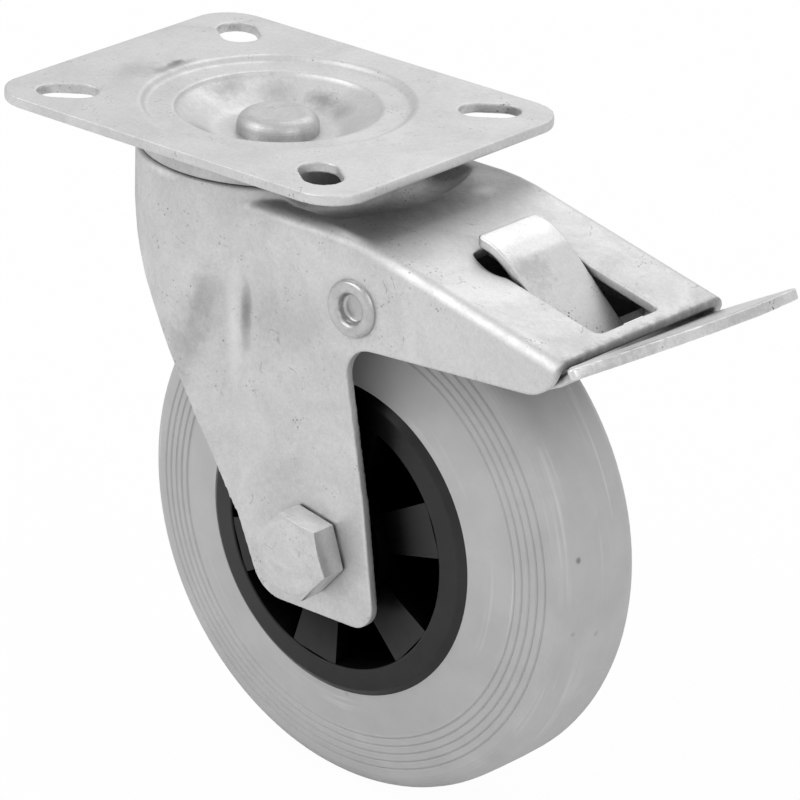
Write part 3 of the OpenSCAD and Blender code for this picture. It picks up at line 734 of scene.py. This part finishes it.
@dataclass
class Finishes:
    """All the castor's finishes: one for each slot, and some pieces' own."""

    made: dict[Slot, bpy.types.Material] = field(default_factory=dict)
    own: dict[str, bpy.types.Material] = field(default_factory=dict)

    def mix(self) -> None:
        """Builds every material once."""
        rivet = ZincFinish(
            "zinc_plated_rivet", pale=0.8, dull=0.66, smooth=0.28, rough=0.4,
            stain_scale=160.0, scratches=0.25, specks=0.3, painted_shade_floor=0.75,
        )
        king_rivet = replace(
            rivet, name="zinc_plated_king_rivet", pale=0.72, dull=0.6, smooth=0.42, rough=0.55,
        )
        plate = ZincFinish(
            "zinc_plated_plate", smooth=0.44, rough=0.58, painted_shade_floor=0.55, stains_and_painted_light=PLATE_STAINS,
        )
        ring = ZincFinish("zinc_plated_ring", painted_shade_floor=0.2, stains_and_painted_light=RING_PAINTED_SHADE)
        fork = ZincFinish(
            "zinc_plated_fork", smooth=0.46, rough=0.6, scratches=0.45, specks=0.6, painted_shade_floor=0.5,
            stains_and_painted_light=FORK_STAINS_AND_PAINTED_LIGHT,
        )
        # A paler copy of the plating: painted light on the pedal, whose tongue faces the light. Its
        # stains are real wear.
        pedal = ZincFinish(
            "zinc_plated_pedal", pale=0.92, dull=0.82, smooth=0.34, rough=0.48,
            stain_scale=80.0, scratches=0.1, specks=0.9, painted_shade_floor=0.45, stains_and_painted_light=PEDAL_STAINS,
        )
        # A darker copy of the rivet finish: painted shade on the near pivot rivet.
        pivot_rivet = replace(rivet, name="zinc_plated_pivot_rivet", pale=0.68, dull=0.56)
        self.own = {
            "king_rivet": king_rivet.make(),
            "top_plate": plate.make(),
            "dust_ring": ring.make(),
            "fork_housing": fork.make(),
            "brake_pedal": pedal.make(),
            "pivot_rivet_near": pivot_rivet.make(),
        }
        self.made = {
            Slot.SHEET: ZincFinish("zinc_plated_sheet", pale=0.6, dull=0.48, stain_scale=120.0).make(),
            Slot.RIVET: rivet.make(),
            Slot.BALL: SteelFinish("polished_ball_steel", 0.6, 0.5, 0.15).make(),
            Slot.SPRING: SteelFinish("dull_spring_steel", 0.12, 0.08, 0.5).make(),
            Slot.RUBBER: RubberFinish().make(),
            Slot.PLASTIC: PlasticFinish().make(),
            Slot.CAGE: PlasticFinish("natural_cage_plastic", 0.42, 0.5, 0.4, 0.55).make(),
        }

    def dress(self, piece: bpy.types.Object, slot: Slot, node: str = "") -> None:
        """Puts one finish on all of a piece.

        Args:
            piece: The piece that is dressed.
            slot: The slot whose finish it takes.
            node: The node whose own finish it takes instead, where it has one.
        """
        piece.data.materials.clear()
        piece.data.materials.append(self.own.get(node, self.made[slot]))


@dataclass(frozen=True)
class SoftZone:
    """A box in which a pressing flows softly from face to face. Millimetres.

    The softening grows from nothing at the box's sides to its full strength at the margin.
    """

    low: Triple
    high: Triple
    margin: float
    rounds: int

    def weights(self, points: np.ndarray) -> np.ndarray:
        """Works out how strongly each point is softened.

        Args:
            points: The points, in metres. Both sides of the castor count as one.

        Returns:
            A weight from 0 to 1 for each point.
        """
        folded = np.column_stack((points[:, 0], np.abs(points[:, 1]), points[:, 2])) / MM
        inside = np.minimum(folded - np.array(self.low), np.array(self.high) - folded).min(axis=1)
        return np.clip(inside / self.margin, 0.0, 1.0)


def merged_copy(source: bpy.types.Object, name: str) -> bpy.types.Object:
    """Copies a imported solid, whose triangles are loose, and joins them at their corners.

    Args:
        source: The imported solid.
        name: The copy's name.

    Returns:
        The copy, active and in edit mode.
    """
    bpy.ops.object.select_all(action="DESELECT")
    piece = bpy.data.objects.new(name, source.data.copy())
    bpy.context.scene.collection.objects.link(piece)
    piece.select_set(True)
    bpy.context.view_layer.objects.active = piece
    bpy.ops.object.mode_set(mode="EDIT")
    bpy.ops.mesh.select_all(action="SELECT")
    bpy.ops.mesh.remove_doubles(threshold=MERGE_REACH)
    return piece


@dataclass(frozen=True)
class PressedSheet:
    """A pressed sheet piece whose copy has the soft edges of the real pressing.

    The voxel is the step of the grid that closes the mesh, and grid_turn turns that grid so
    that straight edges don't run along its steps. Rounds is how often all of the piece is
    softened, and faces is the most triangles that it may hold. Reshape moves its points
    before the softening and pressed moves them after it.
    """

    SMOOTH_FACTOR = 0.5
    WEIGHT_STEPS = 8

    node: str
    body: str
    name: str
    voxel: float
    rounds: int
    faces: int
    zones: tuple[SoftZone, ...] = ()
    reshape: Reshape | None = None
    pressed: Reshape | None = None
    grid_turn: float = 0.0

    def build(self, nodes: dict[str, bpy.types.Object]) -> bpy.types.Object:
        """Copies the node's solid, closes its mesh and softens its edges.

        Args:
            nodes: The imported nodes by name.

        Returns:
            The softened piece.
        """
        piece = merged_copy(nodes[self.node], self.name)
        bpy.ops.object.mode_set(mode="OBJECT")
        self.remesh(piece)
        if self.reshape is not None:
            self.move(piece, self.reshape)
        self.soften(piece, self.rounds)
        for zone in self.zones:
            self.soften(piece, zone.rounds, zone)
        if self.pressed is not None:
            self.move(piece, self.pressed)
        self.thin(piece)
        bpy.ops.object.shade_smooth()
        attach(piece, self.body)
        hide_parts(self.node)
        return piece

    def remesh(self, piece: bpy.types.Object) -> None:
        """Closes the mesh with even faces, on a grid that may be turned about Y.

        Args:
            piece: The copy, which is active.
        """
        grid = Matrix.Rotation(math.radians(self.grid_turn), 4, "Y")
        piece.data.transform(grid)
        even = piece.modifiers.new("even_faces", "REMESH")
        even.mode = "VOXEL"
        even.voxel_size = self.voxel
        bpy.ops.object.modifier_apply(modifier=even.name)
        piece.data.transform(grid.inverted())

    def soften(self, piece: bpy.types.Object, rounds: int, zone: SoftZone | None = None) -> None:
        """Rounds a piece's edges, everywhere or in one zone.

        Args:
            piece: The copy, which is active.
            rounds: How many times each point moves to its neighbours' middle.
            zone: The zone that is softened, or none for all of the piece.
        """
        calm = piece.modifiers.new("soft_edges", "SMOOTH")
        calm.factor = self.SMOOTH_FACTOR
        calm.iterations = rounds
        if zone is not None:
            mesh = piece.data
            points = np.empty(len(mesh.vertices) * 3, dtype=np.float32)
            mesh.vertices.foreach_get("co", points)
            group = piece.vertex_groups.new(name="soft_zone")
            weights = zone.weights(points.reshape(-1, 3))
            levels = np.round(weights * self.WEIGHT_STEPS).astype(int)
            for level in range(1, self.WEIGHT_STEPS + 1):
                chosen = np.flatnonzero(levels == level)
                if len(chosen):
                    group.add(chosen.tolist(), level / self.WEIGHT_STEPS, "REPLACE")
            calm.vertex_group = group.name
        bpy.ops.object.modifier_apply(modifier=calm.name)
        piece.vertex_groups.clear()

    def move(self, piece: bpy.types.Object, reshape: Reshape) -> None:
        """Moves a piece's points.

        Args:
            piece: The copy.
            reshape: Gives the points' new places, in millimetres.
        """
        points = np.empty(len(piece.data.vertices) * 3, dtype=np.float32)
        piece.data.vertices.foreach_get("co", points)
        moved = reshape(points.reshape(-1, 3) / MM) * MM
        piece.data.vertices.foreach_set("co", moved.astype(np.float32).ravel())
        piece.data.update()

    def thin(self, piece: bpy.types.Object) -> None:
        """Joins the smallest faces until the piece holds no more than its share.

        Args:
            piece: The copy, which is active.
        """
        held = 2 * len(piece.data.polygons)
        if held > self.faces:
            fewer = piece.modifiers.new("fewer_faces", "DECIMATE")
            fewer.ratio = self.faces / held
            bpy.ops.object.modifier_apply(modifier=fewer.name)


@dataclass(frozen=True)
class TurnedPiece:
    """A turned or forged piece whose copy has its sharp edges broken.

    The edge is the bevel's width, and longer is how far the lower half is drawn down.
    """

    FLAT_ANGLE = 1.0
    SHARP_ANGLE = 25.0
    SMOOTH_ANGLE = 16.0
    EDGE_SEGMENTS = 3

    node: str
    body: str
    name: str
    edge: float
    longer: float = 0.0

    def build(self, nodes: dict[str, bpy.types.Object]) -> bpy.types.Object:
        """Copies the node's solid, draws its lower end down and bevels its sharp edges.

        Args:
            nodes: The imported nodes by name.

        Returns:
            The bevelled piece.
        """
        piece = merged_copy(nodes[self.node], self.name)
        bpy.ops.mesh.dissolve_limited(angle_limit=math.radians(self.FLAT_ANGLE))
        if self.longer:
            self.draw_down(piece)
        bpy.ops.mesh.select_all(action="DESELECT")
        bpy.ops.mesh.edges_select_sharp(sharpness=math.radians(self.SHARP_ANGLE))
        bpy.ops.mesh.bevel(
            offset=self.edge, segments=self.EDGE_SEGMENTS, affect="EDGES", clamp_overlap=True,
        )
        bpy.ops.object.mode_set(mode="OBJECT")
        bpy.ops.object.shade_smooth_by_angle(angle=math.radians(self.SMOOTH_ANGLE))
        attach(piece, self.body)
        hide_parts(self.node)
        return piece

    def draw_down(self, piece: bpy.types.Object) -> None:
        """Moves the piece's lower half down.

        Args:
            piece: The copy, which is active and in edit mode.
        """
        bpy.ops.mesh.select_all(action="DESELECT")
        bpy.ops.object.mode_set(mode="OBJECT")
        middle = sum(v.co.z for v in piece.data.vertices) / len(piece.data.vertices)
        for vertex in piece.data.vertices:
            vertex.select = vertex.co.z < middle
        bpy.ops.object.mode_set(mode="EDIT")
        bpy.ops.mesh.select_mode(type="VERT")
        bpy.ops.transform.translate(value=(0.0, 0.0, -self.longer))


@dataclass(frozen=True)
class Lamp:
    """A soft box: where it stands, its width and its power in watts."""

    name: str
    place: Triple
    width: float
    power: float

    def hang(self, aim: Vector) -> None:
        """Adds the lamp and turns it to the castor.

        Args:
            aim: The point that it shines at.
        """
        data = bpy.data.lights.new(self.name, "AREA")
        data.shape = "SQUARE"
        data.size = self.width
        data.energy = self.power
        lamp = bpy.data.objects.new(self.name, data)
        bpy.context.scene.collection.objects.link(lamp)
        lamp.location = self.place
        lamp.rotation_euler = (aim - lamp.location).to_track_quat("-Z", "Y").to_euler()


@dataclass(frozen=True)
class Studio:
    """The white studio: floor, lamps and surrounding light."""

    floor_z: float
    floor_width: float = 6.0
    floor_tone: float = 0.84
    floor_roughness: float = 0.9
    floor_glow: float = 0.97
    fill: float = 0.68
    aim: Triple = (0.03, 0.0, -0.07)
    lamps: tuple[Lamp, ...] = (
        Lamp("key_lamp", (-0.6, -1.0, 1.1), 1.2, 7.0),
        Lamp("side_lamp", (1.2, -0.2, 0.8), 0.9, 2.4),
        Lamp("back_lamp", (-0.28, 0.95, 1.05), 1.1, 2.7),
    )

    def build(self) -> None:
        """Adds the floor, the lamps and the world."""
        self.lay_floor()
        for lamp in self.lamps:
            lamp.hang(Vector(self.aim))
        self.fill_world()

    def lay_floor(self) -> None:
        """Lays a floor that the camera sees as white, with a hint of the castor's shadow."""
        bpy.ops.object.select_all(action="DESELECT")
        bpy.ops.mesh.primitive_plane_add(size=self.floor_width, location=(0.0, 0.0, self.floor_z))
        floor = bpy.context.object
        floor.name = "studio_floor"
        shader = Shader("studio_floor_white")
        shader.feed(shader.surface, base_color=grey(self.floor_tone), roughness=self.floor_roughness)
        glow = shader.add("ShaderNodeEmission")
        shader.feed(glow, color=grey(1.0), strength=1.0)
        path = shader.add("ShaderNodeLightPath")
        share = shader.math("MULTIPLY", path.outputs["Is Camera Ray"], self.floor_glow)
        mixed = shader.add("ShaderNodeMixShader")
        shader.join(share, mixed.inputs[0])
        shader.join(shader.surface.outputs["BSDF"], mixed.inputs[1])
        shader.join(glow.outputs["Emission"], mixed.inputs[2])
        output = next(n for n in shader.tree.nodes if n.type == "OUTPUT_MATERIAL")
        shader.join(mixed.outputs["Shader"], output.inputs["Surface"])
        floor.data.materials.append(shader.material)
        floor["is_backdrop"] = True

    def fill_world(self) -> None:
        """Sets a white surround that lights the castor softly."""
        world = bpy.data.worlds.new("studio_surround")
        world.use_nodes = True
        bpy.context.scene.world = world
        tree = world.node_tree
        background = tree.nodes["Background"]
        path = tree.nodes.new("ShaderNodeLightPath")
        strength = tree.nodes.new("ShaderNodeMapRange")
        strength.inputs["To Min"].default_value = self.fill
        strength.inputs["To Max"].default_value = 1.0
        tree.links.new(path.outputs["Is Camera Ray"], strength.inputs["Value"])
        tree.links.new(strength.outputs["Result"], background.inputs["Strength"])
        background.inputs["Color"].default_value = grey(1.0)


@dataclass(frozen=True)
class BladeTwist:
    """The bend that use gave the pedal's blade. Millimetres."""

    root_x: float = 104.5
    root_run: float = 5.0
    near_y: float = 20.0
    near_run: float = 55.0
    near_rise: float = 2.3
    near_reach: float = -0.6
    far_y: float = 6.0
    far_run: float = 29.0
    far_reach: float = 2.8

    def bend(self, points: np.ndarray) -> np.ndarray:
        """Twists the blade up at its near wing and draws its far wing out.

        Args:
            points: The pedal's points.

        Returns:
            The points after the twist.
        """
        x, y, z = points.T
        outside = np.clip((x - self.root_x) / self.root_run, 0.0, 1.0)
        near = np.clip((self.near_y - y) / self.near_run, 0.0, 1.0)
        far = np.clip((y - self.far_y) / self.far_run, 0.0, 1.0)
        sideways = outside * (self.far_reach * far + self.near_reach * near)
        return np.column_stack((x, y + sideways, z + outside * self.near_rise * near))


def eased(share: np.ndarray) -> np.ndarray:
    """Turns a straight run from 0 to 1 into one with soft ends."""
    return share * share * (3.0 - 2.0 * share)


@dataclass(frozen=True)
class LegCrease:
    """The crease between crown and leg, pressed into both sides. Millimetres."""

    line_x: float = 15.8
    flank: float = 1.8
    fade: float = 8.0
    top_z: float = -30.0
    top_run: float = 4.0
    low_z: float = -72.0
    low_run: float = 30.0
    side_y: float = 20.0
    side_run: float = 3.0
    depth: float = 0.75

    def press(self, points: np.ndarray) -> np.ndarray:
        """Presses the crease in.

        Args:
            points: The fork's points.

        Returns:
            The points after the pressing.
        """
        x, y, z = points.T
        beyond = x - self.line_x
        flank = eased(np.clip(beyond / self.flank, 0.0, 1.0))
        drop = flank * np.exp(-np.clip(beyond - self.flank, 0.0, None) / self.fade)
        below = np.clip((self.top_z - z) / self.top_run, 0.0, 1.0)
        above = np.clip((z - self.low_z) / self.low_run, 0.0, 1.0)
        side = np.clip((np.abs(y) - self.side_y) / self.side_run, 0.0, 1.0)
        inward = self.depth * drop * below * above * side
        return np.column_stack((x, y - np.sign(y) * inward, z))


PRESSINGS: tuple[PressedSheet, ...] = (
    PressedSheet("top_plate", "base", "plate_pressing", voxel=0.36 * MM, rounds=4, faces=150_000),
    PressedSheet(
        "fork_housing", "fork", "fork_pressing", voxel=0.32 * MM, rounds=8, faces=195_000,
        zones=(
            # Crown to side, the skirt's flank, the trough, and the leg's front edge.
            SoftZone((4.0, 22.0, -44.0), (26.0, 34.0, -10.5), 4.0, 90),
            SoftZone((-14.0, 22.0, -66.0), (14.0, 34.0, -22.0), 4.0, 90),
            SoftZone((20.0, -1.0, -21.0), (47.0, 28.0, -9.0), 3.0, 40),
            SoftZone((9.0, 20.0, -80.0), (21.0, 34.0, -38.0), 4.0, 20),
        ),
        pressed=LegCrease().press, grid_turn=17.0,
    ),
    PressedSheet(
        "brake_pedal", "pedal", "pedal_pressing", voxel=0.35 * MM, rounds=5, faces=120_000,
        reshape=BladeTwist().bend,
    ),
)

TURNINGS: tuple[TurnedPiece, ...] = (
    TurnedPiece("axle_bolt", "fork", "bolt_with_broken_edges", edge=0.3 * MM),
    TurnedPiece("axle_nut", "fork", "nut_with_broken_edges", edge=0.3 * MM),
    TurnedPiece("dust_ring", "base", "dust_ring_on_the_crown", edge=0.15 * MM, longer=0.25 * MM),
)


def plain_box() -> list[list[float]]:
    """Gives the lowest and highest corner of everything as plain numbers."""
    return [list(corner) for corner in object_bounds()]


def main() -> None:
    """Builds the dressed castor in its studio."""
    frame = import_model()
    solids_box = plain_box()
    StudioCamera().place()
    bpy.context.scene.view_settings.view_transform = "Standard"
    finishes = Finishes()
    finishes.mix()
    for name, slot in NODE_SLOTS.items():
        finishes.dress(frame["nodes"][name], slot, name)
        log.info("dressed %s", name)
    for pressing in PRESSINGS:
        piece = pressing.build(frame["nodes"])
        finishes.dress(piece, Slot.SHEET, pressing.node)
        finishes.dress(frame["nodes"][pressing.node], Slot.SHEET, pressing.node)
        log.info("pressed %s: %d faces", piece.name, len(piece.data.polygons))
    for turning in TURNINGS:
        piece = turning.build(frame["nodes"])
        finishes.dress(piece, NODE_SLOTS[turning.node], turning.node)
        log.info("turned %s: %d faces", piece.name, len(piece.data.polygons))
    Studio(floor_z=solids_box[0][2]).build()


if __name__ == "__main__":
    logging.basicConfig(level=logging.INFO)
    main()
